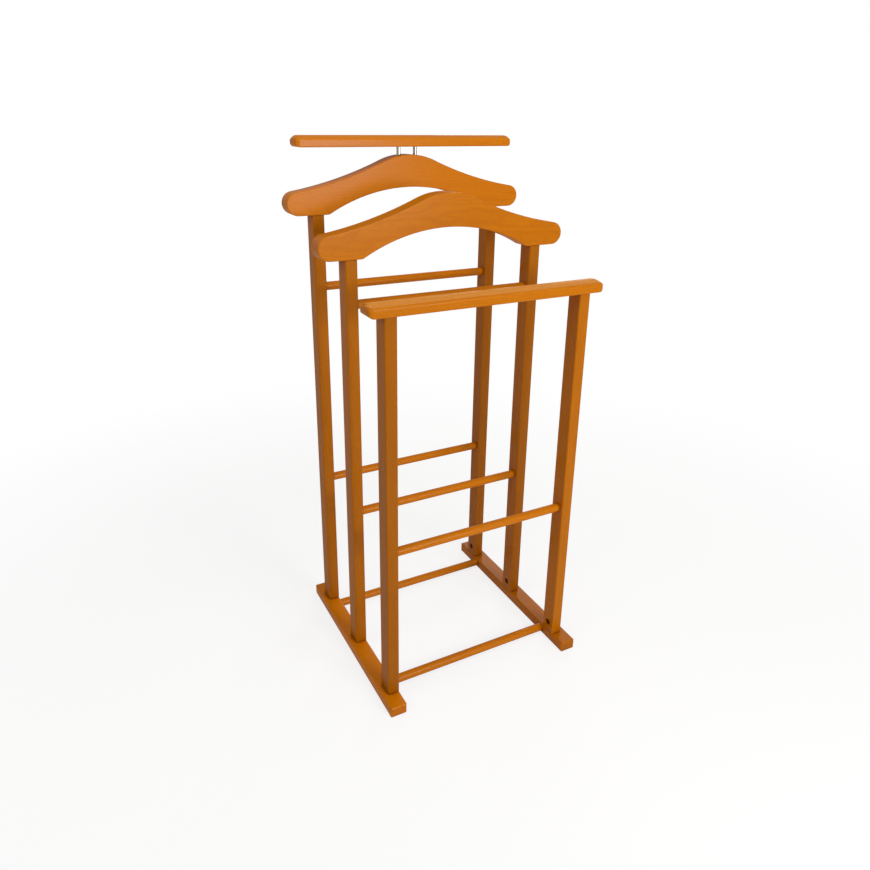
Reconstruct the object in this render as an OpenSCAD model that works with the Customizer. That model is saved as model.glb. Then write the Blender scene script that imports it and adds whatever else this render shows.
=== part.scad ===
// Clothes valet stand: three upright frames of rising height on two floor runners.
// The rear and middle frames end in shaped jacket hangers, the front one in a trouser rail.
// Millimetres, +Z up, front towards -Y, origin on the floor at the middle of the runners.

/* [Frames] */
// Outside width over the two posts of a frame
frame_w = 388; // [340:2:440]
// Distance from one frame to the next, centre to centre
frame_pitch = 155; // [120:1:200]
// Length of the front posts, which carry the trouser rail
front_post_l = 710; // [600:5:800]
// Length of the middle posts, which carry the lower hanger
middle_post_l = 768; // [700:4:840]
// Length of the rear posts, which carry the upper hanger
rear_post_l = 822; // [762:5:902]

/* [Posts] */
// Width of a post, seen from the front
post_w = 22; // [20:1:30]
// Depth of a post, front to back
post_d = 33; // [28:1:40]
// Rounding of a post's upright edges
post_edge_r = 3; // [1:0.5:5]
// Rounding round a post's two ends, which leaves a fine shadow line at the joint
post_end_r = 1; // [0.5:0.25:2]

/* [Runners] */
// Width of a runner, flush with the posts' inner faces
runner_w = 32; // [30:1:45]
// Height of a runner
runner_h = 20; // [18:1:30]
// Reach of a runner past the centre of its end posts
runner_overhang = 50; // [35:1:90]
// Rounding of a runner's upright corners
runner_corner_r = 5; // [2:0.5:8]
// Rounding of a runner's long edges and end edges
runner_edge_r = 3; // [1:0.5:5]

/* [Rungs] */
// Diameter of the rungs and base stretchers
rung_d = 16; // [13:1:18]
// Height of the lower rungs over the floor
lower_rung_h = 308; // [150:2:450]
// Distance of the upper rungs below the top of the middle posts
upper_rung_drop = 79; // [50:1:150]
// Distance of a base stretcher from the centre of the end posts
stretcher_offset = 24; // [24:1:60]
// Diameter of the tenon turned on each end of a rung
tenon_d = 10; // [8:0.5:11]
// Length of that tenon
tenon_l = 14; // [8:1:15]

/* [Hangers] */
// Thickness of a hanger, front to back
hanger_t = 35; // [28:1:40]
// Reach of a hanger past the posts' outer faces
hanger_overhang = 46; // [38:1:70]
// Height of a hanger at its crown
crown_h = 102; // [90:1:112]
// Radius of the crown
crown_r = 126; // [100:1:160]
// Radius of the hollow shoulders
shoulder_r = 725; // [500:5:1000]
// Radius of the round ends
end_r = 20.5; // [19:0.5:26]
// Rise of the arch under a hanger
arch_rise = 44; // [30:1:50]
// Flat left on the underside between a post and the arch
arch_land = 6; // [2:1:20]
// Radius where the arch runs out into that flat
arch_corner_r = 14; // [11:0.5:20]
// Rounding of a hanger's long edges
hanger_edge_r = 2; // [1:0.5:3.5]

/* [Top bar] */
// Length of the top bar
top_bar_l = 440; // [360:5:520]
// Depth of the bar, front to back
top_bar_d = 40; // [32:1:50]
// Height of the bar at its crest
top_bar_h = 20; // [17:1:26]
// Radius of its domed top
top_bar_dome_r = 34; // [30:1:80]
// Radius where the dome runs into the front and back
top_bar_corner_r = 3; // [2:0.5:5]
// Rounding of the bar's lower edges
top_bar_edge_r = 2; // [0.5:0.5:4]
// Rounding of the bar's ends, seen from above and from the front
top_bar_end_r = 6; // [1:0.5:7]
// Clear height between the crown of the rear hanger and the bar
top_bar_gap = 14; // [8:1:40]
// Diameter of the two pins that carry the bar
bar_pin_d = 8; // [5:0.5:12]
// Distance between the two pins
bar_pin_spacing = 34; // [20:1:80]
// Length of a pin inside the bar
bar_pin_in_bar = 12; // [8:1:14]
// Length of a pin inside the hanger, below its crown
bar_pin_in_hanger = 22; // [14:1:30]

/* [Trouser rail] */
// Reach of the rail past the posts' outer faces
rail_overhang = 26; // [5:1:50]
// Depth of the rail, front to back
rail_d = 42; // [34:1:54]
// Height of the rail at its crest
rail_h = 20; // [17:1:28]
// Radius of the domed top
rail_dome_r = 46; // [40:1:60]
// Radius where the dome runs into the sides
rail_corner_r = 4; // [2:0.5:7]
// Rounding of the rail's lower edges
rail_edge_r = 2; // [0.5:0.5:3]
// Rounding of the rail's ends, seen from above and from the front
rail_end_r = 6; // [1:0.5:8]
// Distance between the non-slip grooves along the top
groove_pitch = 3; // [2.6:0.1:6]
// Radius of the groove cutter
groove_r = 1.5; // [0.8:0.1:2]
// Depth of the grooves
groove_depth = 0.5; // [0.2:0.1:0.8]

/* [Glued pins] */
// Diameter of the pins that join the post tops to the hangers and rail
dowel_d = 8; // [6:0.5:9]
// Length of those pins
dowel_l = 30; // [26:1:40]
// Distance between the two pins of a post
dowel_spacing = 14; // [12:1:16]
// Length of a pin inside a hanger
dowel_in_hanger = 15; // [10:1:20]
// Length of a pin inside the trouser rail
dowel_in_rail = 12; // [6:1:13]

/* [Base fixings] */
// Thread diameter of the base bolts
bolt_d = 6; // [4:1:8]
// Diameter of a bolt's head
bolt_head_d = 11; // [9:0.5:13]
// Height of a bolt's head
bolt_head_h = 5; // [3:0.5:6]
// Width across the flats of the head's hexagon socket
bolt_socket_w = 5; // [3:0.5:6]
// Depth of the recess under a runner that takes the head
head_recess = 7; // [6:0.5:9]
// Diameter of the barrel nuts
nut_d = 12; // [9:0.5:13]
// Length of the barrel nuts
nut_l = 14; // [12:1:15]
// Depth of a barrel nut's end below the post's face
nut_depth = 4; // [0.5:0.5:4.5]
// Height of the barrel nuts above the runner
nut_h = 20; // [14:1:40]
// Diameter of the locating pins
locator_d = 6; // [4:0.5:6.5]
// Length of the locating pins
locator_l = 22; // [12:1:24]
// Distance of a locating pin from its bolt
locator_offset = 9; // [8.5:0.5:10]

/* [Fits] */
// Gap all round a glued pin or tenon
glue_gap = 0.1; // [0.05:0.05:0.3]
// Gap all round a bolt or its head
bolt_gap = 0.3; // [0.1:0.1:0.6]
// Room left at the bottom of a blind hole
end_gap = 1; // [0.5:0.5:2]

/* [Hidden] */

wood_front = "#c8731a";
wood_side = "#a85f18";
pale_wood = "#d8b07a";
bright_steel = "#c9ccd0";
black_oxide = "#2b2622";

$fn = 64;
// Sides of the wide circles behind the top bar's and the rail's domes
arc_sides = 360;
// How far a cutter reaches past the face it starts from
cut = 1;

// Planes that the pieces share
inner_x = frame_w / 2 - post_w;
post_x = frame_w / 2 - post_w / 2;
front_y = -frame_pitch;
middle_y = 0;
rear_y = frame_pitch;
frame_ys = [front_y, middle_y, rear_y];
front_top = runner_h + front_post_l;
middle_top = runner_h + middle_post_l;
rear_top = runner_h + rear_post_l;
upper_rung_h = middle_top - upper_rung_drop;
runner_l = 2 * (frame_pitch + runner_overhang);
stretcher_y = frame_pitch - stretcher_offset;
bar_z = rear_top + crown_h + top_bar_gap;

// Bolts run from the recess in the runner through the nut
nut_z = runner_h + nut_h;
bolt_tip_z = nut_z + nut_d / 2 + 2;
nut_slot_w = 1.6;
nut_slot_depth = 1.5;
pin_chamfer = 0.8;

// Centres of the hanger's arcs, each tangent to the next, for the right half (x, z)
end_c = [frame_w / 2 + hanger_overhang - end_r, end_r];
crown_c = [0, crown_h - crown_r];
shoulder_c = meet(crown_c, crown_r + shoulder_r, end_c, end_r + shoulder_r);
land_c = [inner_x - arch_land, arch_corner_r];
arch_r = (pow(land_c[0], 2) + pow(arch_corner_r - arch_rise, 2) - pow(arch_corner_r, 2))
  / (2 * arch_rise);
arch_c = [0, arch_rise - arch_r];

// Directions in which neighbouring arcs touch
crown_end_a = bearing(crown_c, shoulder_c);
end_top_a = bearing(end_c, shoulder_c);
arch_end_a = bearing(arch_c, land_c);

// Inset and depth of each ring of the hanger's skin, through the two rounded edges
edge_steps = 3;
front_rings = [
  for (i = [0:edge_steps])
    let (a = 90 * i / edge_steps)
      [hanger_edge_r * (1 - sin(a)), hanger_edge_r * (1 - cos(a)) - hanger_t / 2]
];
hanger_rings = concat(
  front_rings,
  [for (i = [edge_steps:-1:0]) [front_rings[i][0], -front_rings[i][1]]]
);

// Grooves that fit on the rail's dome, on each side of the middle one
rail_reach = dome_reach(rail_d, rail_dome_r, rail_corner_r);
grooves_each_side = floor((rail_reach - groove_r) / groove_pitch);

// Angle from one point to another, in degrees
function bearing(from, to) = atan2(to[1] - from[1], to[0] - from[0]);

// Half the width over which a domed section follows its dome
function dome_reach(w, dome_r, corner_r) = (w / 2 - corner_r) * dome_r / (dome_r - corner_r);

// Upper point that lies ra from a and rb from b
function meet(a, ra, b, rb) =
  let (
    d = norm(b - a),
    along = (ra * ra - rb * rb + d * d) / (2 * d),
    up = sqrt(ra * ra - along * along),
    u = (b - a) / d
  ) a + along * u + up * [-u[1], u[0]];

// Points of an arc from angle a0 to a1, without its first point
function arc(c, r, a0, a1, steps) = [
  for (i = [1:steps])
    let (a = a0 + (a1 - a0) * i / steps) c + r * [cos(a), sin(a)]
];

// Right half of the hanger's outline, drawn in by a distance, from below the crown to the arch
function half_outline(inset) = concat(
  arc(crown_c, crown_r - inset, 90, crown_end_a, 8),
  arc(shoulder_c, shoulder_r + inset, crown_end_a + 180, end_top_a + 180, 10),
  arc(end_c, end_r - inset, end_top_a, 0, 9),
  arc(end_c, end_r - inset, 0, -90, 8),
  [[land_c[0], inset]],
  arc(land_c, arch_corner_r - inset, -90, arch_end_a - 180, 4),
  arc(arch_c, arch_r + inset, arch_end_a, 90, 10)
);

// The whole outline, clockwise from the crown
function outline(inset) =
  let (right = half_outline(inset), arch_top = len(right) - 1)
    concat(
      [[0, crown_h - inset]],
      right,
      [for (i = [arch_top - 1:-1:0]) [-right[i][0], right[i][1]]]
    );

// ---------- shapes that several pieces share ----------

// Puts a right-hand piece on either side
module on_side(side) {
  mirror([side < 0 ? 1 : 0, 0, 0]) children();
}

module eased_rect(w, d, r) {
  square([w - 2 * r, d], center = true);
  square([w, d - 2 * r], center = true);
  for (sx = [-1, 1], sy = [-1, 1])
    translate([sx * (w / 2 - r), sy * (d / 2 - r)]) circle(r);
}

// Block on z = 0 whose plan, front and side views are all rounded
module eased_block(size, plan_r, edge_r) {
  intersection() {
    linear_extrude(size[2]) eased_rect(size[0], size[1], plan_r);
    translate([0, size[1] / 2, size[2] / 2]) rotate([90, 0, 0])
      linear_extrude(size[1]) eased_rect(size[0], size[2], edge_r);
    translate([-size[0] / 2, 0, size[2] / 2]) rotate([90, 0, 90])
      linear_extrude(size[0]) eased_rect(size[1], size[2], edge_r);
  }
}

// Cylinder along +X
module rod_x(d, l) {
  rotate([0, 90, 0]) cylinder(d = d, h = l);
}

// Upright pin with chamfered ends
module chamfered_pin(d, l) {
  cylinder(d1 = d - 2 * pin_chamfer, d2 = d, h = pin_chamfer);
  translate([0, 0, pin_chamfer]) cylinder(d = d, h = l - 2 * pin_chamfer);
  translate([0, 0, l - pin_chamfer]) cylinder(d1 = d, d2 = d - 2 * pin_chamfer, h = pin_chamfer);
}

// ---------- posts and runners ----------

// Right-hand post at y = 0, bored for rungs at the given heights and for the piece on top,
// which takes the upper stretch of each dowel
module post(length, rung_heights, dowel_above) {
  top = runner_h + length;
  difference() {
    translate([post_x, 0, runner_h])
      eased_block([post_w, post_d, length], post_edge_r, post_end_r);
    for (z = rung_heights) tenon_socket(z);
    translate([inner_x - cut, 0, nut_z])
      rod_x(nut_d + 2 * bolt_gap, cut + nut_depth + nut_l);
    translate([post_x, 0, runner_h - cut])
      cylinder(d = bolt_d + 2 * bolt_gap, h = cut + bolt_tip_z + end_gap - runner_h);
    translate([post_x, 0, runner_h]) locator_hole();
    translate([0, 0, top]) dowel_holes(dowel_l - dowel_above, down = true);
  }
}

module tenon_socket(z) {
  translate([inner_x - cut, 0, z]) rod_x(tenon_d + 2 * glue_gap, cut + tenon_l + end_gap);
}

// Hole for a locating pin, half above and half below the joint at z = 0
module locator_hole() {
  depth = locator_l / 2 + end_gap / 2;
  translate([0, locator_offset, -depth]) cylinder(d = locator_d + 2 * glue_gap, h = 2 * depth);
}

// Holes for the two dowels of a right-hand post, into the face at z = 0
module dowel_holes(depth, down) {
  for (s = [-1, 1])
    translate([post_x, s * dowel_spacing / 2, down ? -depth - end_gap : -cut])
      cylinder(d = dowel_d + 2 * glue_gap, h = depth + end_gap + cut);
}

module runner() {
  difference() {
    translate([inner_x + runner_w / 2, 0, 0])
      eased_block([runner_w, runner_l, runner_h], runner_corner_r, runner_edge_r);
    for (y = frame_ys) {
      translate([post_x, y, -cut]) cylinder(d = bolt_d + 2 * bolt_gap, h = runner_h + 2 * cut);
      translate([post_x, y, -cut]) cylinder(d = bolt_head_d + 2 * bolt_gap, h = head_recess + cut);
      translate([post_x, y, runner_h]) locator_hole();
    }
    for (s = [-1, 1])
      translate([0, s * stretcher_y, 0]) tenon_socket(runner_h / 2);
  }
}

// Round rung between the two posts, or stretcher between the runners, with a tenon at each end
module rung(y, z) {
  translate([-inner_x, y, z]) rod_x(rung_d, 2 * inner_x);
  translate([-inner_x - tenon_l, y, z]) rod_x(tenon_d, 2 * (inner_x + tenon_l));
}

// ---------- hangers ----------

// Skin of a hanger, stretched over its rings from front to back
module hanger_blank() {
  count = len(outline(0));
  last = len(hanger_rings) - 1;
  polyhedron(
    points = [for (ring = hanger_rings, p = outline(ring[0])) [p[0], ring[1], p[1]]],
    faces = concat(
      [[for (i = [0:count - 1]) i]],
      [[for (i = [count - 1:-1:0]) last * count + i]],
      [
        for (k = [0:last - 1], i = [0:count - 1])
          let (here = k * count, next = (i + 1) % count)
            [here + i, here + count + i, here + count + next, here + next]
      ]
    )
  );
}

// Jacket hanger with its underside on z = 0 at y = 0
module hanger() {
  difference() {
    hanger_blank();
    for (side = [-1, 1]) on_side(side) dowel_holes(dowel_in_hanger, down = false);
  }
}

// ---------- top bar and trouser rail ----------

// Section with a flat underside at z = 0, upright sides and a dome that meets them in round corners
module domed_section(w, h, dome_r, corner_r, edge_r) {
  corner_x = w / 2 - corner_r;
  dome_z = h - dome_r;
  corner_z = dome_z + sqrt(pow(dome_r - corner_r, 2) - pow(corner_x, 2));
  reach = dome_reach(w, dome_r, corner_r);
  translate([0, corner_z / 2]) eased_rect(w, corner_z, edge_r);
  translate([-w / 2, corner_z / 2]) square([w, corner_z / 2]);
  for (s = [-1, 1]) translate([s * corner_x, corner_z]) circle(corner_r);
  intersection() {
    translate([-reach, corner_z / 2]) square([2 * reach, h]);
    translate([0, dome_z]) circle(dome_r, $fn = arc_sides);
  }
}

// Sweeps a section along X with rounded ends; the section's y becomes z
module bar_along_x(l, d, h, end_r) {
  intersection() {
    translate([0, 0, -cut]) linear_extrude(h + 2 * cut) eased_rect(l, d, end_r);
    translate([0, d / 2 + cut, h / 2]) rotate([90, 0, 0])
      linear_extrude(d + 2 * cut) eased_rect(l, h, end_r);
    translate([-l / 2 - cut, 0, 0]) rotate([90, 0, 90]) linear_extrude(l + 2 * cut) children();
  }
}

// ---------- the pieces ----------

module left_runner() {
  color(wood_side) on_side(-1) runner();
}

module right_runner() {
  color(wood_side) on_side(1) runner();
}

module rear_left_post() {
  color(wood_front) on_side(-1) translate([0, rear_y, 0])
    post(rear_post_l, [lower_rung_h, upper_rung_h], dowel_in_hanger);
}

module rear_right_post() {
  color(wood_front) translate([0, rear_y, 0])
    post(rear_post_l, [lower_rung_h, upper_rung_h], dowel_in_hanger);
}

module middle_left_post() {
  color(wood_front) on_side(-1) translate([0, middle_y, 0])
    post(middle_post_l, [lower_rung_h, upper_rung_h], dowel_in_hanger);
}

module middle_right_post() {
  color(wood_front) translate([0, middle_y, 0])
    post(middle_post_l, [lower_rung_h, upper_rung_h], dowel_in_hanger);
}

module front_left_post() {
  color(wood_front) on_side(-1) translate([0, front_y, 0])
    post(front_post_l, [lower_rung_h], dowel_in_rail);
}

module front_right_post() {
  color(wood_front) translate([0, front_y, 0])
    post(front_post_l, [lower_rung_h], dowel_in_rail);
}

module rear_hanger() {
  color(wood_front) translate([0, rear_y, rear_top]) difference() {
    hanger();
    for (s = [-1, 1])
      translate([s * bar_pin_spacing / 2, 0, crown_h - bar_pin_in_hanger - end_gap])
        cylinder(d = bar_pin_d + 2 * glue_gap, h = bar_pin_in_hanger + end_gap + cut);
  }
}

module middle_hanger() {
  color(wood_front) translate([0, middle_y, middle_top]) hanger();
}

module top_bar() {
  color(wood_front) translate([0, rear_y, bar_z]) difference() {
    bar_along_x(top_bar_l, top_bar_d, top_bar_h, top_bar_end_r)
      domed_section(top_bar_d, top_bar_h, top_bar_dome_r, top_bar_corner_r, top_bar_edge_r);
    for (s = [-1, 1])
      translate([s * bar_pin_spacing / 2, 0, -cut])
        cylinder(d = bar_pin_d + 2 * glue_gap, h = cut + bar_pin_in_bar + end_gap);
  }
}

module top_bar_pins() {
  foot = rear_top + crown_h - bar_pin_in_hanger;
  color(bright_steel) for (s = [-1, 1])
    translate([s * bar_pin_spacing / 2, rear_y, foot])
      chamfered_pin(bar_pin_d, bar_z + bar_pin_in_bar - foot);
}

module trouser_rail() {
  length = frame_w + 2 * rail_overhang;
  ring = rail_dome_r + groove_r - groove_depth;
  groove_turn = groove_pitch / rail_dome_r * 180 / PI;
  color(wood_front) translate([0, front_y, front_top]) difference() {
    bar_along_x(length, rail_d, rail_h, rail_end_r)
      domed_section(rail_d, rail_h, rail_dome_r, rail_corner_r, rail_edge_r);
    for (i = [-grooves_each_side:grooves_each_side])
      translate([0, 0, rail_h - rail_dome_r]) rotate([-i * groove_turn, 0, 0])
        translate([-length / 2 - cut, 0, ring]) rod_x(2 * groove_r, length + 2 * cut);
    for (side = [-1, 1]) on_side(side) dowel_holes(dowel_in_rail, down = false);
  }
}

module rear_upper_rung() {
  color(wood_side) rung(rear_y, upper_rung_h);
}

module middle_upper_rung() {
  color(wood_side) rung(middle_y, upper_rung_h);
}

module rear_lower_rung() {
  color(wood_side) rung(rear_y, lower_rung_h);
}

module middle_lower_rung() {
  color(wood_side) rung(middle_y, lower_rung_h);
}

module front_lower_rung() {
  color(wood_side) rung(front_y, lower_rung_h);
}

module rear_base_stretcher() {
  color(wood_side) rung(stretcher_y, runner_h / 2);
}

module front_base_stretcher() {
  color(wood_side) rung(-stretcher_y, runner_h / 2);
}

// Socket-head bolts, heads in the recesses under the runners
module base_bolts() {
  head_z = head_recess - bolt_head_h;
  color(black_oxide) for (side = [-1, 1], y = frame_ys)
    translate([side * post_x, y, 0]) difference() {
      union() {
        translate([0, 0, head_z]) cylinder(d = bolt_head_d, h = bolt_head_h);
        translate([0, 0, head_z]) cylinder(d = bolt_d, h = bolt_tip_z - head_z);
      }
      translate([0, 0, head_z - cut])
        cylinder(d = bolt_socket_w / cos(30), h = cut + bolt_head_h / 2, $fn = 6);
    }
}

// Barrel nuts across the posts, each bored for its bolt and slotted so that it can be turned
module barrel_nuts() {
  color(black_oxide) for (side = [-1, 1], y = frame_ys) on_side(side)
    translate([inner_x + nut_depth, y, nut_z]) difference() {
      rod_x(nut_d, nut_l);
      translate([post_x - inner_x - nut_depth, 0, -nut_d])
        cylinder(d = bolt_d + 2 * glue_gap, h = 2 * nut_d);
      translate([-cut, -nut_d, -nut_slot_w / 2])
        cube([cut + nut_slot_depth, 2 * nut_d, nut_slot_w]);
    }
}

// Pins that stop the posts from turning on their bolts
module base_locating_pins() {
  color(pale_wood) for (side = [-1, 1], y = frame_ys)
    translate([side * post_x, y + locator_offset, runner_h - locator_l / 2])
      chamfered_pin(locator_d, locator_l);
}

// The four glued pins at the top of one frame
module frame_dowels(y, top, above) {
  color(pale_wood) for (side = [-1, 1], s = [-1, 1])
    translate([side * post_x, y + s * dowel_spacing / 2, top + above - dowel_l])
      chamfered_pin(dowel_d, dowel_l);
}

module rear_hanger_pins() {
  frame_dowels(rear_y, rear_top, dowel_in_hanger);
}

module middle_hanger_pins() {
  frame_dowels(middle_y, middle_top, dowel_in_hanger);
}

module trouser_rail_pins() {
  frame_dowels(front_y, front_top, dowel_in_rail);
}

left_runner();
right_runner();
rear_left_post();
rear_right_post();
middle_left_post();
middle_right_post();
front_left_post();
front_right_post();
rear_hanger();
middle_hanger();
trouser_rail();
top_bar();
top_bar_pins();
rear_upper_rung();
middle_upper_rung();
rear_lower_rung();
middle_lower_rung();
front_lower_rung();
rear_base_stretcher();
front_base_stretcher();
base_bolts();
barrel_nuts();
base_locating_pins();
rear_hanger_pins();
middle_hanger_pins();
trouser_rail_pins();
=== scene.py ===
"""Clothes valet stand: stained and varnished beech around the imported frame.

Metres, +Z up, front towards -Y, origin on the floor between the two runners.
"""
import math

import bmesh
import bpy
from mathutils import Euler, Matrix, Vector


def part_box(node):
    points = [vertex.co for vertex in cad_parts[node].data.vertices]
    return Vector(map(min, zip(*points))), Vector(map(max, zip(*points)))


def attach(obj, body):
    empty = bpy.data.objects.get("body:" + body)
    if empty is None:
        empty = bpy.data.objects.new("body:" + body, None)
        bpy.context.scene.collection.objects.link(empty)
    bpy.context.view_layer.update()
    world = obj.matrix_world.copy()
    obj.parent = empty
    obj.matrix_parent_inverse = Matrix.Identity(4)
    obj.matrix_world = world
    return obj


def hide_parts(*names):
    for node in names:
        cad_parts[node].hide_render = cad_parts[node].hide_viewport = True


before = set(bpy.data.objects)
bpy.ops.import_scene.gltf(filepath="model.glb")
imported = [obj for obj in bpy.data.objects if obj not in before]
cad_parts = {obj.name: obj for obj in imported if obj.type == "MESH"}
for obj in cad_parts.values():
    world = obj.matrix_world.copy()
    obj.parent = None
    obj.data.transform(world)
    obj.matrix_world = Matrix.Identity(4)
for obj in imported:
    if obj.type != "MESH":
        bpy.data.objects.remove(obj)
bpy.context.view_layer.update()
scene = bpy.context.scene
scene.view_settings.view_transform = "Standard"

# ---------------------------------------------------------------- camera
# The photograph is taken from the front left, a little above the top bar and looking down.
# Its place comes from a fit of the frame's corners, joints and rungs to the picture.
image_side = 870
principal_row = 383
focal_px = 721.42
sensor_mm = 36
camera_place = Vector((-0.6133, -1.1215, 1.0118))
camera_yaw = math.radians(28.045)
camera_pitch = math.radians(20.313)
camera_roll = math.radians(0.810)

camera_data = bpy.data.cameras.new("camera")
camera_data.sensor_width = sensor_mm
camera_data.lens = focal_px / image_side * sensor_mm
camera_data.shift_y = (principal_row - image_side / 2) / image_side
camera_data.clip_start = 0.05
camera_data.clip_end = 50
camera = bpy.data.objects.new("camera", camera_data)
scene.collection.objects.link(camera)
scene.camera = camera
heading = Euler((math.pi / 2 - camera_pitch, 0, -camera_yaw)).to_matrix()
roll = Matrix.Rotation(camera_roll, 3, "Z")
camera.matrix_world = Matrix.Translation(camera_place) @ (heading @ roll).to_4x4()

# ---------------------------------------------------------------- studio
# A white floor that runs out into a white surround, as in a catalogue picture.
# The lamps hang in front, overhead, to the left and behind, all as large soft boxes.
ambient_level = 0.28
floor_radius = 6.0
floor_sides = 96
# A hair under the runners, so that no two faces lie in one plane
floor_drop = 0.0004
floor_white = "#F2F1EF"
floor_glow = 0.75
glow_strength = 1.05
fade_start = 0.55
fade_end = 1.7


def linear(colour):
    """Turns an sRGB hex colour into the linear values that a shader takes."""
    channels = [int(colour[i : i + 2], 16) / 255 for i in (1, 3, 5)]
    return [c / 12.92 if c <= 0.04045 else ((c + 0.055) / 1.055) ** 2.4 for c in channels] + [1]


def add(tree, kind, inputs=None, **settings):
    """Adds a shader node with its settings, and sets or links its inputs."""
    node = tree.nodes.new("ShaderNode" + kind)
    for name, value in settings.items():
        setattr(node, name, value)
    for name, value in (inputs or {}).items():
        if isinstance(value, bpy.types.NodeSocket):
            tree.links.new(value, node.inputs[name])
        else:
            node.inputs[name].default_value = value
    return node


def seen_directly(tree):
    """1 for rays from the camera, a mirror or glass, and 0 for the light that falls on things."""
    path = add(tree, "LightPath").outputs
    either = add(
        tree, "Math", {0: path["Is Camera Ray"], 1: path["Is Glossy Ray"]}, operation="MAXIMUM"
    ).outputs[0]
    return add(
        tree, "Math", {0: either, 1: path["Is Transmission Ray"]}, operation="MAXIMUM"
    ).outputs[0]


world = bpy.data.worlds.new("white_surround")
scene.world = world
world.use_nodes = True
tree = world.node_tree
tree.nodes.clear()
strength = add(
    tree,
    "Math",
    {0: seen_directly(tree), 1: 1 - ambient_level, 2: ambient_level},
    operation="MULTIPLY_ADD",
).outputs[0]
surround = add(tree, "Background", {"Color": (1, 1, 1, 1), "Strength": strength})
add(tree, "OutputWorld", {"Surface": surround.outputs[0]})

floor_material = bpy.data.materials.new("white_painted_floor")
floor_material.use_nodes = True
tree = floor_material.node_tree
tree.nodes.clear()
seen = seen_directly(tree)
place = add(tree, "TexCoord").outputs["Object"]
distance = add(tree, "VectorMath", {0: place}, operation="LENGTH").outputs["Value"]
far = add(
    tree,
    "MapRange",
    {"Value": distance, "From Min": fade_start, "From Max": fade_end},
    interpolation_type="SMOOTHSTEP",
).outputs["Result"]
# Near the stand the eye gets part glow and part paint, about 1 together, so the shadow stays
paint = add(tree, "BsdfDiffuse", {"Color": linear(floor_white)}).outputs[0]
glow = add(tree, "Emission", {"Color": (1, 1, 1, 1), "Strength": glow_strength}).outputs[0]
glow_share = add(tree, "Math", {0: seen, 1: floor_glow}, operation="MULTIPLY").outputs[0]
near_floor = add(tree, "MixShader", {0: glow_share, 1: paint, 2: glow}).outputs[0]
far_floor = add(tree, "Emission", {"Color": (1, 1, 1, 1)}).outputs[0]
fade = add(tree, "Math", {0: seen, 1: far}, operation="MULTIPLY").outputs[0]
floor_shader = add(tree, "MixShader", {0: fade, 1: near_floor, 2: far_floor}).outputs[0]
add(tree, "OutputMaterial", {"Surface": floor_shader})

disc = bmesh.new()
bmesh.ops.create_circle(disc, cap_ends=True, segments=floor_sides, radius=floor_radius)
bmesh.ops.translate(disc, verts=disc.verts, vec=(0, 0, -floor_drop))
floor_mesh = bpy.data.meshes.new("floor")
disc.to_mesh(floor_mesh)
disc.free()
floor_mesh.materials.append(floor_material)
floor = bpy.data.objects.new("floor", floor_mesh)
scene.collection.objects.link(floor)


def softbox(name, place, target, width, height, level):
    """Hangs a soft box that lights a surface facing it at the target to this share of white."""
    lamp = bpy.data.lights.new(name, "AREA")
    lamp.shape = "RECTANGLE"
    lamp.size = width
    lamp.size_y = height
    aim = Vector(target) - Vector(place)
    lamp.energy = level * math.pi**2 * aim.length_squared
    lamp_object = bpy.data.objects.new(name, lamp)
    lamp_object.location = place
    lamp_object.rotation_euler = aim.to_track_quat("-Z", "Y").to_euler()
    lamp_object.visible_camera = False
    scene.collection.objects.link(lamp_object)


softbox("front_softbox", (0.36, -1.75, 0.97), (0, 0, 0.75), 0.75, 0.6, 0.60)
softbox("top_softbox", (-0.1, -0.3, 2.2), (0, 0, 0.75), 0.7, 0.7, 0.34)
softbox("left_softbox", (-1.3, -0.3, 1.3), (-0.2, 0, 0.7), 0.6, 0.6, 0.25)
softbox("back_softbox", (1.6, 1.7, 1.2), (0, 0, 0.6), 1.2, 1.0, 0.28)

# ---------------------------------------------------------------- floor runners
# Two beech runners lie front to back and carry a post of each frame.
# Sawn from 32 x 20 mm stock, edges rounded, stained honey brown and varnished satin.
grain_turn = {"x": (0, 0, 0), "y": (0, 0, -math.pi / 2), "z": (0, math.pi / 2, 0)}
grain_line = {"x": (1, 0, 0), "y": (0, 1, 0), "z": (0, 0, 1)}
ring_spacing = 0.0032
# The wave texture repeats every tau / 20 m at a scale of 1
wave_period = math.tau / 20
heart_nearest = 0.07
heart_step = 0.02
golden_angle = 2.39996
wander_width = 0.02
# Repeats per metre, along the grain and across it
wander_scale = (5, 20, 20)
patch_scale = (6, 35, 35)
fibre_scale = (1 / 0.06, 1 / 0.0012, 1 / 0.0012)
fleck_scale = (1 / 0.008, 1 / 0.0016, 1 / 0.0016)
early_wood = "#D37A06"
late_wood = "#BE6703"
patch_brown = "#B86102"
fleck_brown = "#944A02"
# Painted shade for corners and joints, laid on by ambient occlusion
painted_corner_shade = "#6A2400"


def toned(colour, tone):
    """An sRGB hex colour as linear values, made darker or lighter by the board's tone."""
    red, green, blue, alpha = linear(colour)
    return [red * tone, green * tone, blue * tone, alpha]


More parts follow.
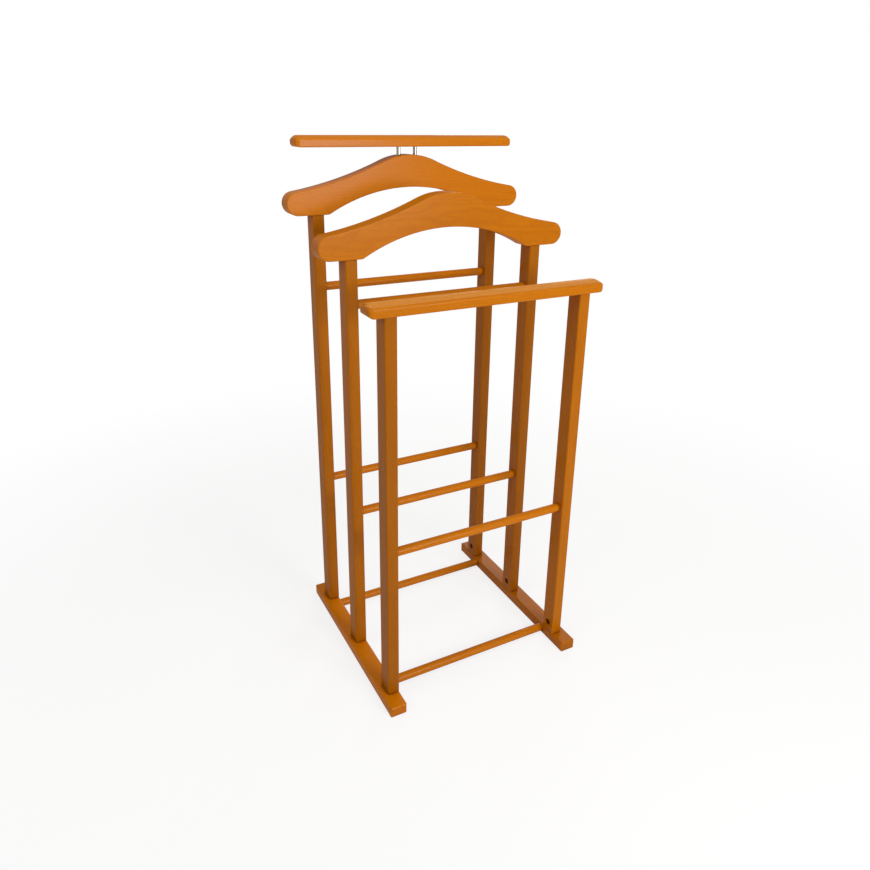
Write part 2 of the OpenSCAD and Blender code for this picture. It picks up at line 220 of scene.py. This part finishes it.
def stained_beech(node, along, number, tone=1.0):
    """Beech wiped with a honey stain and varnished satin, its grain along one axis.

    The eye sees a warm, even orange brown with fine dark flecks and a soft sheen.
    The tone is how light this board came out beside the others, and on the posts it is partly
    painted shade."""
    material = bpy.data.materials.new(f"stained_beech_{node}")
    material.use_nodes = True
    tree = material.node_tree
    tree.nodes.clear()
    coordinates = add(tree, "TexCoord").outputs
    board = add(
        tree, "Mapping", {"Vector": coordinates["Object"], "Rotation": grain_turn[along]}
    ).outputs[0]

    # The grain wanders a few millimetres over a hand's length
    wander_place = add(tree, "Mapping", {"Vector": board, "Scale": wander_scale}).outputs[0]
    wander = add(tree, "TexNoise", {"Vector": wander_place, "Scale": 1, "Detail": 2})
    centred = add(
        tree, "VectorMath", {0: wander.outputs["Color"], 1: (0.5, 0.5, 0.5)}, operation="SUBTRACT"
    ).outputs[0]
    sideways = add(
        tree, "VectorMath", {0: centred, 1: (0, wander_width, wander_width)}, operation="MULTIPLY"
    ).outputs[0]
    bent_board = add(tree, "VectorMath", {0: board, 1: sideways}, operation="ADD").outputs[0]

    # Growth rings about 3 mm apart, round a heart 70 to 130 mm outside the piece
    low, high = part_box(node)
    middle = Euler(grain_turn[along]).to_matrix() @ ((low + high) / 2)
    heart_distance = heart_nearest + heart_step * (number % 4)
    heart_y = heart_distance * math.cos(golden_angle * number) - middle.y
    heart_z = heart_distance * math.sin(golden_angle * number) - middle.z
    ring_place = add(
        tree, "Mapping", {"Vector": bent_board, "Location": (0, heart_y, heart_z)}
    ).outputs[0]
    rings = add(
        tree,
        "TexWave",
        {"Vector": ring_place, "Scale": wave_period / ring_spacing, "Distortion": 0.8, "Detail": 1},
        wave_type="RINGS",
        rings_direction="X",
    ).outputs["Fac"]

    # Fibres about 1 mm apart and 60 mm long
    fibre_place = add(tree, "Mapping", {"Vector": bent_board, "Scale": fibre_scale}).outputs[0]
    fibres = add(
        tree, "TexNoise", {"Vector": fibre_place, "Scale": 1, "Detail": 3, "Roughness": 0.6}
    ).outputs["Fac"]

    # Ray flecks, drawn 1 x 5 mm so that they show; real ones are half as wide
    fleck_place = add(tree, "Mapping", {"Vector": board, "Scale": fleck_scale}).outputs[0]
    fleck_distance = add(tree, "TexVoronoi", {"Vector": fleck_place, "Scale": 1}).outputs[
        "Distance"
    ]
    flecks = add(
        tree,
        "MapRange",
        {"Value": fleck_distance, "From Min": 0.32, "From Max": 0.14, "To Max": 0.4},
    ).outputs["Result"]

    # The stain takes a little unevenly, in patches as wide as a finger
    patch_place = add(tree, "Mapping", {"Vector": board, "Scale": patch_scale}).outputs[0]
    patches = add(tree, "TexNoise", {"Vector": patch_place, "Scale": 1, "Detail": 3}).outputs["Fac"]

    # Cut ends drink more stain; corners, joints and grooves get painted shade where ambient
    # occlusion finds faces close together
    endwise = add(
        tree,
        "VectorMath",
        {0: coordinates["Normal"], 1: grain_line[along]},
        operation="DOT_PRODUCT",
    ).outputs["Value"]
    end_face = add(tree, "Math", {0: endwise}, operation="ABSOLUTE").outputs[0]
    corner = add(tree, "AmbientOcclusion", {"Distance": 0.012}, samples=8).outputs["AO"]

    # Each tint goes over the last, by up to its amount as its share runs from low to high
    colour = toned(early_wood, tone)
    for share, low_value, high_value, amount, tint in (
        (rings, 0.5, 1.0, 0.3, late_wood),
        (patches, 0.4, 0.75, 0.3, patch_brown),
        (fibres, 0.45, 0.75, 0.35, late_wood),
        (flecks, 0.0, 1.0, 0.7, fleck_brown),
        (end_face, 0.7, 0.97, 0.3, fleck_brown),
        # Painted shade: darker where ambient occlusion finds faces close by
        (corner, 0.8, 0.2, 0.8, painted_corner_shade),
    ):
        amount_here = add(
            tree,
            "MapRange",
            {"Value": share, "From Min": low_value, "From Max": high_value, "To Max": amount},
        ).outputs["Result"]
        colour = add(
            tree, "Mix", {0: amount_here, 6: colour, 7: toned(tint, tone)}, data_type="RGBA"
        ).outputs[2]

    # The varnish leaves the open fibres and flecks just felt under a finger
    relief = add(
        tree, "Math", {0: flecks, 1: -0.8, 2: fibres}, operation="MULTIPLY_ADD"
    ).outputs[0]
    bump = add(tree, "Bump", {"Strength": 0.3, "Distance": 0.00015, "Height": relief})
    wood = add(
        tree,
        "BsdfPrincipled",
        {
            "Base Color": colour,
            "Roughness": 0.55,
            "IOR": 1.5,
            "Specular IOR Level": 0.0,
            "Coat Weight": 0.22,
            "Coat Roughness": 0.24,
            "Coat IOR": 1.5,
            "Normal": bump.outputs["Normal"],
        },
    )
    add(tree, "OutputMaterial", {"Surface": wood.outputs[0]})
    return material


def dress(node, material):
    """Gives a node of the frame its finished material."""
    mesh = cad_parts[node].data
    mesh.materials.clear()
    mesh.materials.append(material)


right_runner_tone = 0.77
dress("left_runner", stained_beech("left_runner", "y", 1))
dress("right_runner", stained_beech("right_runner", "y", 2, right_runner_tone))

# ---------------------------------------------------------------- posts
# Six upright beech posts of three lengths, 22 x 33 mm with rounded edges.
# Each stands on a runner, and is bored low on its inner face for the nut that draws it down.
# They are cut from different boards, and their tones are partly that and partly painted shade: each
# post is darkened to the shade it stands in and to how dimly its upright grain reflects.
# Board tones, partly painted shade
post_tones_with_shade = {
    "rear_left_post": 0.66,
    "rear_right_post": 0.60,
    "middle_left_post": 0.66,
    "middle_right_post": 0.64,
    "front_left_post": 0.60,
    "front_right_post": 0.76,
}
for number, (name, tone) in enumerate(post_tones_with_shade.items(), 3):
    dress(name, stained_beech(name, "z", number, tone))

# ---------------------------------------------------------------- base fixings
# Bolts from under the runners, barrel nuts across the posts, and locating pins beside them.
# Blackened steel, whose dark colour also stands as painted shade down in the nut holes, and
# unstained beech.
# Near-black steel colours, partly the finish and partly painted shade for the nut holes
oil_black = "#2A2320"
dull_grey = "#453A34"
mottle_scale = 1 / 0.0015
straw = "#E0BC8A"
dark_straw = "#C79A64"
dowel_fibre_scale = (1 / 0.0008, 1 / 0.0008, 1 / 0.03)


def blackened_steel_hole_shade():
    """Steel dipped black and oiled: a dull dark grey, seen only down in the nut holes, where its
    dark colour is also painted shade.
    """
    material = bpy.data.materials.new("blackened_steel_hole_shade")
    material.use_nodes = True
    tree = material.node_tree
    tree.nodes.clear()
    place = add(tree, "TexCoord").outputs["Object"]
    mottle = add(
        tree, "TexNoise", {"Vector": place, "Scale": mottle_scale, "Detail": 3}
    ).outputs["Fac"]
    colour = add(
        tree, "Mix", {0: mottle, 6: linear(oil_black), 7: linear(dull_grey)}, data_type="RGBA"
    ).outputs[2]
    metal = add(tree, "BsdfPrincipled", {"Base Color": colour, "Metallic": 1.0, "Roughness": 0.5})
    add(tree, "OutputMaterial", {"Surface": metal.outputs[0]})
    return material


def raw_beech():
    """Unstained beech dowel, plain and chamfered: pale straw with fine lengthwise fibres."""
    material = bpy.data.materials.new("raw_beech")
    material.use_nodes = True
    tree = material.node_tree
    tree.nodes.clear()
    place = add(tree, "TexCoord").outputs["Object"]
    fibre_place = add(tree, "Mapping", {"Vector": place, "Scale": dowel_fibre_scale}).outputs[0]
    fibres = add(tree, "TexNoise", {"Vector": fibre_place, "Scale": 1, "Detail": 3}).outputs["Fac"]
    colour = add(
        tree, "Mix", {0: fibres, 6: linear(straw), 7: linear(dark_straw)}, data_type="RGBA"
    ).outputs[2]
    wood = add(tree, "BsdfPrincipled", {"Base Color": colour, "Roughness": 0.7})
    add(tree, "OutputMaterial", {"Surface": wood.outputs[0]})
    return material


black_steel_hole_shade = blackened_steel_hole_shade()
pale_beech = raw_beech()
for name in ("base_bolts", "barrel_nuts"):
    dress(name, black_steel_hole_shade)
for name in ("base_locating_pins", "rear_hanger_pins", "middle_hanger_pins", "trouser_rail_pins"):
    dress(name, pale_beech)

# ---------------------------------------------------------------- rungs and stretchers
# Five round beech rungs between the posts, and two stretchers between the runners.
# Turned to 16 mm with a 10 mm tenon on each end, and glued into blind sockets.
rung_names = (
    "rear_upper_rung",
    "middle_upper_rung",
    "rear_lower_rung",
    "middle_lower_rung",
    "front_lower_rung",
    "rear_base_stretcher",
    "front_base_stretcher",
)
rung_tone = 0.91
for number, name in enumerate(rung_names, 9):
    dress(name, stained_beech(name, "x", number, rung_tone))

# ---------------------------------------------------------------- jacket hangers
# Two hangers sawn from 35 mm beech to the slope of a pair of shoulders, arched underneath.
# Spindle-moulded with a 2 mm round all along both faces, and pegged to the post tops.
crown_radius = 0.126
shoulder_radius = 0.725
end_radius = 0.0205
arch_rise = 0.044
arch_land = 0.006
arch_corner_radius = 0.014
hanger_round = 0.002
round_segments = 5
crown_steps = 14
shoulder_steps = 20
end_arc_steps = 20
arch_corner_steps = 6
arch_steps = 24
sharp_turn = math.radians(30)
seam_gap = 1e-6
rear_hanger_tone = 0.96
middle_hanger_tone = 0.88


def bearing(start, end):
    """Direction from one (x, z) point to another."""
    return math.atan2(end[1] - start[1], end[0] - start[0])


def upper_meeting(a, radius_a, b, radius_b):
    """Upper point that lies radius_a from a and radius_b from b."""
    span = (b - a).length
    along = (radius_a**2 - radius_b**2 + span**2) / (2 * span)
    line = (b - a) / span
    return a + along * line + math.sqrt(radius_a**2 - along**2) * Vector((-line.y, line.x))


def draw_arc(bm, start, centre, turn, steps):
    """Draws an arc onwards from a vertex, clockwise round an (x, z) centre, and returns its end."""
    drawn = bmesh.ops.spin(
        bm,
        geom=[start],
        cent=(centre[0], start.co.y, centre[1]),
        axis=(0, 1, 0),
        dvec=(0, 0, 0),
        angle=turn,
        steps=steps,
        use_duplicate=False,
    )
    return drawn["geom_last"][0]


def add_piece(name, bm, material):
    """Makes a piece of a bmesh, to stand for the frame's node of that name."""
    mesh = bpy.data.meshes.new(name)
    bmesh.ops.recalc_face_normals(bm, faces=bm.faces)
    for face in bm.faces:
        face.smooth = True
    for edge in bm.edges:
        edge.smooth = edge.calc_face_angle(0) < sharp_turn
    bm.to_mesh(mesh)
    bm.free()
    mesh.materials.append(material)
    piece = bpy.data.objects.new(f"{name}_finished", mesh)
    scene.collection.objects.link(piece)
    shading = piece.modifiers.new("flat_faces_stay_flat", "WEIGHTED_NORMAL")
    shading.keep_sharp = True
    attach(piece, "root")
    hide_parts(name)


def hanger(name, number, tone):
    """A hanger blank cut to its outline, moulded along both faces and stained."""
    low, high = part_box(name)
    half_width = (high.x - low.x) / 2
    crown_height = high.z - low.z
    post_inner_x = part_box("rear_right_post")[0].x

    crown = Vector((0, crown_height - crown_radius))
    end = Vector((half_width - end_radius, end_radius))
    shoulder = upper_meeting(
        crown, crown_radius + shoulder_radius, end, end_radius + shoulder_radius
    )
    corner = Vector((post_inner_x - arch_land, arch_corner_radius))
    arch_radius = (
        corner.x**2 + (arch_corner_radius - arch_rise) ** 2 - arch_corner_radius**2
    ) / (2 * arch_rise)
    arch = Vector((0, arch_rise - arch_radius))

    # Right half of the outline, clockwise from the crown, each arc tangent to the next
    bm = bmesh.new()
    pen = bmesh.ops.create_vert(bm, co=(0, low.y, crown_height))["vert"][0]
    crown_stop = bearing(crown, shoulder)
    end_start = bearing(end, shoulder)
    corner_stop = bearing(arch, corner)
    pen = draw_arc(bm, pen, crown, math.pi / 2 - crown_stop, crown_steps)
    pen = draw_arc(bm, pen, shoulder, crown_stop - end_start, shoulder_steps)
    pen = draw_arc(bm, pen, end, end_start + math.pi / 2, end_arc_steps)
    pen = bmesh.ops.extrude_vert_indiv(bm, verts=[pen])["verts"][0]
    pen.co = (corner.x, low.y, 0)
    pen = draw_arc(bm, pen, corner, math.pi / 2 - corner_stop, arch_corner_steps)
    draw_arc(bm, pen, arch, corner_stop - math.pi / 2, arch_steps)

    bmesh.ops.mirror(
        bm, geom=bm.verts[:] + bm.edges[:], matrix=Matrix.Identity(4), merge_dist=seam_gap, axis="X"
    )
    bmesh.ops.contextual_create(bm, geom=bm.edges[:])
    blank = bmesh.ops.extrude_face_region(bm, geom=bm.faces[:])["geom"]
    back = [part for part in blank if isinstance(part, bmesh.types.BMVert)]
    bmesh.ops.translate(bm, verts=back, vec=(0, high.y - low.y, 0))
    # The front and back are the only faces with more than four corners
    rims = [edge for edge in bm.edges if any(len(face.verts) > 4 for face in edge.link_faces)]
    bmesh.ops.bevel(
        bm,
        geom=rims,
        offset=hanger_round,
        offset_type="OFFSET",
        affect="EDGES",
        segments=round_segments,
        profile=0.5,
        material=-1,
        clamp_overlap=True,
    )
    bmesh.ops.translate(bm, verts=bm.verts, vec=(0, 0, low.z))
    add_piece(name, bm, stained_beech(name, "x", number, tone))


hanger("rear_hanger", 16, rear_hanger_tone)
hanger("middle_hanger", 17, middle_hanger_tone)

# ---------------------------------------------------------------- trouser rail
# A beech rail pegged across the front posts, domed on top so that trousers hang without a crease.
# Fine grooves run along the dome and stop the cloth from sliding, and the ends are rounded over.
groove_pitch = 0.003
groove_radius = 0.0015
groove_depth = 0.0005
grooves_each_side = 5
dome_radius = 0.046
rail_corner_radius = 0.004
under_edge_radius = 0.002
end_round = 0.009
end_steps = 6
groove_steps = 6
dome_steps = 12
dome_side_steps = 4
bar_corner_steps = 5
under_edge_steps = 4
rail_tone = 0.88
dome_foot = 0.0032
# Painted shade for the grooves, and a painted highlight for the lands between them
groove_shade_brown = "#8F4A05"
land_highlight_honey = "#EFA852"


def draw_grooves(bm, pen, dome):
    """Draws a middle groove and those to its right, each with the land after it but the last."""
    ring = dome_radius + groove_radius - groove_depth
    lip = math.acos((dome_radius**2 + ring**2 - groove_radius**2) / (2 * dome_radius * ring))
    scoop = math.acos((groove_radius**2 + ring**2 - dome_radius**2) / (2 * groove_radius * ring))
    step = groove_pitch / dome_radius
    pen.co.z -= groove_depth
    for number in range(grooves_each_side + 1):
        centre = dome + ring * Vector((math.sin(number * step), math.cos(number * step)))
        if number:
            pen = draw_arc(bm, pen, dome, step - 2 * lip, 1)
        # Of the middle groove only the right half is drawn here
        halves = 2 if number else 1
        pen = draw_arc(bm, pen, centre, -halves * scoop, halves * groove_steps // 2)
    return pen, grooves_each_side * step + lip


def domed_bar(name, radius, corner_radius, material, grooved=False):
    """A bar along X, flat below and domed on top, its section shrinking round at each end."""
    low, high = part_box(name)
    half_length = (high.x - low.x) / 2
    half_depth = (high.y - low.y) / 2
    height = high.z - low.z
    dome = Vector((0, height - radius))
    corner_x = half_depth - corner_radius
    corner = Vector((corner_x, dome.y + math.sqrt((radius - corner_radius) ** 2 - corner_x**2)))
    corner_start = bearing(dome, corner)

    # Right half of the section, clockwise from the crest
    bm = bmesh.new()
    pen = bmesh.ops.create_vert(bm, co=(0, 0, height))["vert"][0]
    turned = 0
    if grooved:
        pen, turned = draw_grooves(bm, pen, dome)
    steps = dome_side_steps if grooved else dome_steps
    pen = draw_arc(bm, pen, dome, math.pi / 2 - corner_start - turned, steps)
    pen = draw_arc(bm, pen, corner, corner_start, bar_corner_steps)
    pen = bmesh.ops.extrude_vert_indiv(bm, verts=[pen])["verts"][0]
    pen.co = (half_depth, 0, under_edge_radius)
    under_edge = (half_depth - under_edge_radius, under_edge_radius)
    pen = draw_arc(bm, pen, under_edge, math.pi / 2, under_edge_steps)
    pen = bmesh.ops.extrude_vert_indiv(bm, verts=[pen])["verts"][0]
    pen.co = (0, 0, 0)
    bmesh.ops.mirror(
        bm, geom=bm.verts[:] + bm.edges[:], matrix=Matrix.Identity(4), merge_dist=seam_gap, axis="X"
    )
    bmesh.ops.contextual_create(bm, geom=bm.edges[:])

    # The section grows round a quarter circle from one end, and shrinks again to the other
    turns = [math.pi / 2 * step / end_steps for step in range(end_steps + 1)]
    stations = [
        (end_round * (1 - math.cos(turn)) - half_length, end_round * (1 - math.sin(turn)))
        for turn in turns
    ]
    stations += [(-place, inset) for place, inset in reversed(stations)]
    mid_height = Matrix.Translation((0, 0, -height / 2))
    cap = bm.faces[:]
    reached, width_share, height_share = 0, 1, 1
    for number, (place, inset) in enumerate(stations):
        if number:
            grown = bmesh.ops.extrude_face_region(bm, geom=cap)["geom"]
            if number > 1:
                # The section just left would stay inside the bar; only the first one is an end
                bmesh.ops.delete(bm, geom=cap, context="FACES_ONLY")
            cap = [part for part in grown if isinstance(part, bmesh.types.BMFace)]
        rim = cap[0].verts[:]
        new_width_share = 1 - inset / half_depth
        new_height_share = 1 - inset / (height / 2)
        bmesh.ops.translate(bm, verts=rim, vec=(0, place - reached, 0))
        bmesh.ops.scale(
            bm,
            verts=rim,
            vec=(new_width_share / width_share, 1, new_height_share / height_share),
            space=mid_height,
        )
        reached, width_share, height_share = place, new_width_share, new_height_share

    bmesh.ops.rotate(
        bm, verts=bm.verts, cent=(0, 0, 0), matrix=Matrix.Rotation(math.pi / 2, 3, "Z")
    )
    bmesh.ops.translate(bm, verts=bm.verts, vec=(0, (low.y + high.y) / 2, low.z))
    add_piece(name, bm, material)


def grooved_beech(name, number, tone):
    """Stained beech with painted shade dark in the grooves and a painted highlight on the lands
    between.
    """
    material = stained_beech(name, "x", number, tone)
    tree = material.node_tree
    low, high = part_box(name)
    place = add(tree, "TexCoord").outputs["Object"]
    apart = add(tree, "SeparateXYZ", {"Vector": place}).outputs

    # Distance round the dome from its crest, and from there the nearest groove
    across = add(
        tree, "Math", {0: apart["Y"], 1: (low.y + high.y) / 2}, operation="SUBTRACT"
    ).outputs[0]
    share = add(tree, "Math", {0: across, 1: dome_radius}, operation="DIVIDE").outputs[0]
    turn = add(tree, "Math", {0: share}, operation="ARCSINE").outputs[0]
    phase = add(
        tree, "Math", {0: turn, 1: math.tau * dome_radius / groove_pitch}, operation="MULTIPLY"
    ).outputs[0]
    wave = add(tree, "Math", {0: phase}, operation="COSINE").outputs[0]
    on_dome = add(
        tree, "Math", {0: apart["Z"], 1: high.z - dome_foot}, operation="GREATER_THAN"
    ).outputs[0]

    # Painted shade where the wave is high, in the grooves, and a painted highlight where it is low,
    # on the lands
    wood = tree.nodes["Principled BSDF"]
    colour = wood.inputs["Base Color"].links[0].from_socket
    for start, stop, amount, tint in ((0.0, 0.9, 0.7, groove_shade_brown), (0.3, -0.7, 0.75, land_highlight_honey)):
        share_here = add(
            tree,
            "MapRange",
            {"Value": wave, "From Min": start, "From Max": stop, "To Max": amount},
        ).outputs["Result"]
        amount_here = add(
            tree, "Math", {0: share_here, 1: on_dome}, operation="MULTIPLY"
        ).outputs[0]
        colour = add(
            tree, "Mix", {0: amount_here, 6: colour, 7: linear(tint)}, data_type="RGBA"
        ).outputs[2]
    tree.links.new(colour, wood.inputs["Base Color"])
    return material


domed_bar(
    "trouser_rail",
    dome_radius,
    rail_corner_radius,
    grooved_beech("trouser_rail", 18, rail_tone),
    grooved=True,
)

# ---------------------------------------------------------------- top bar and its pins
# A beech bar over the rear hanger, flat below and domed on top, for a tie or a pair of trousers.
# Its ends are rounded over, and it stands clear on two polished steel pins.
bar_dome_radius = 0.034
bar_corner_radius = 0.003
steel_shade = "#807A72"
steel_light = "#948E86"
mark_scale = (1 / 0.004, 1 / 0.004, 1 / 0.0003)
domed_bar("top_bar", bar_dome_radius, bar_corner_radius, stained_beech("top_bar", "x", 19))


def polished_steel():
    """Bright plated steel: a grey mirror with a hard highlight and fine marks round it."""
    material = bpy.data.materials.new("polished_steel")
    material.use_nodes = True
    tree = material.node_tree
    tree.nodes.clear()
    place = add(tree, "TexCoord").outputs["Object"]
    mark_place = add(tree, "Mapping", {"Vector": place, "Scale": mark_scale}).outputs[0]
    marks = add(tree, "TexNoise", {"Vector": mark_place, "Scale": 1, "Detail": 2}).outputs["Fac"]
    colour = add(
        tree, "Mix", {0: marks, 6: linear(steel_shade), 7: linear(steel_light)}, data_type="RGBA"
    ).outputs[2]
    bump = add(tree, "Bump", {"Strength": 0.2, "Distance": 0.00003, "Height": marks})
    metal = add(
        tree,
        "BsdfPrincipled",
        {
            "Base Color": colour,
            "Metallic": 1.0,
            "Roughness": 0.16,
            "Normal": bump.outputs["Normal"],
        },
    )
    add(tree, "OutputMaterial", {"Surface": metal.outputs[0]})
    return material


dress("top_bar_pins", polished_steel())
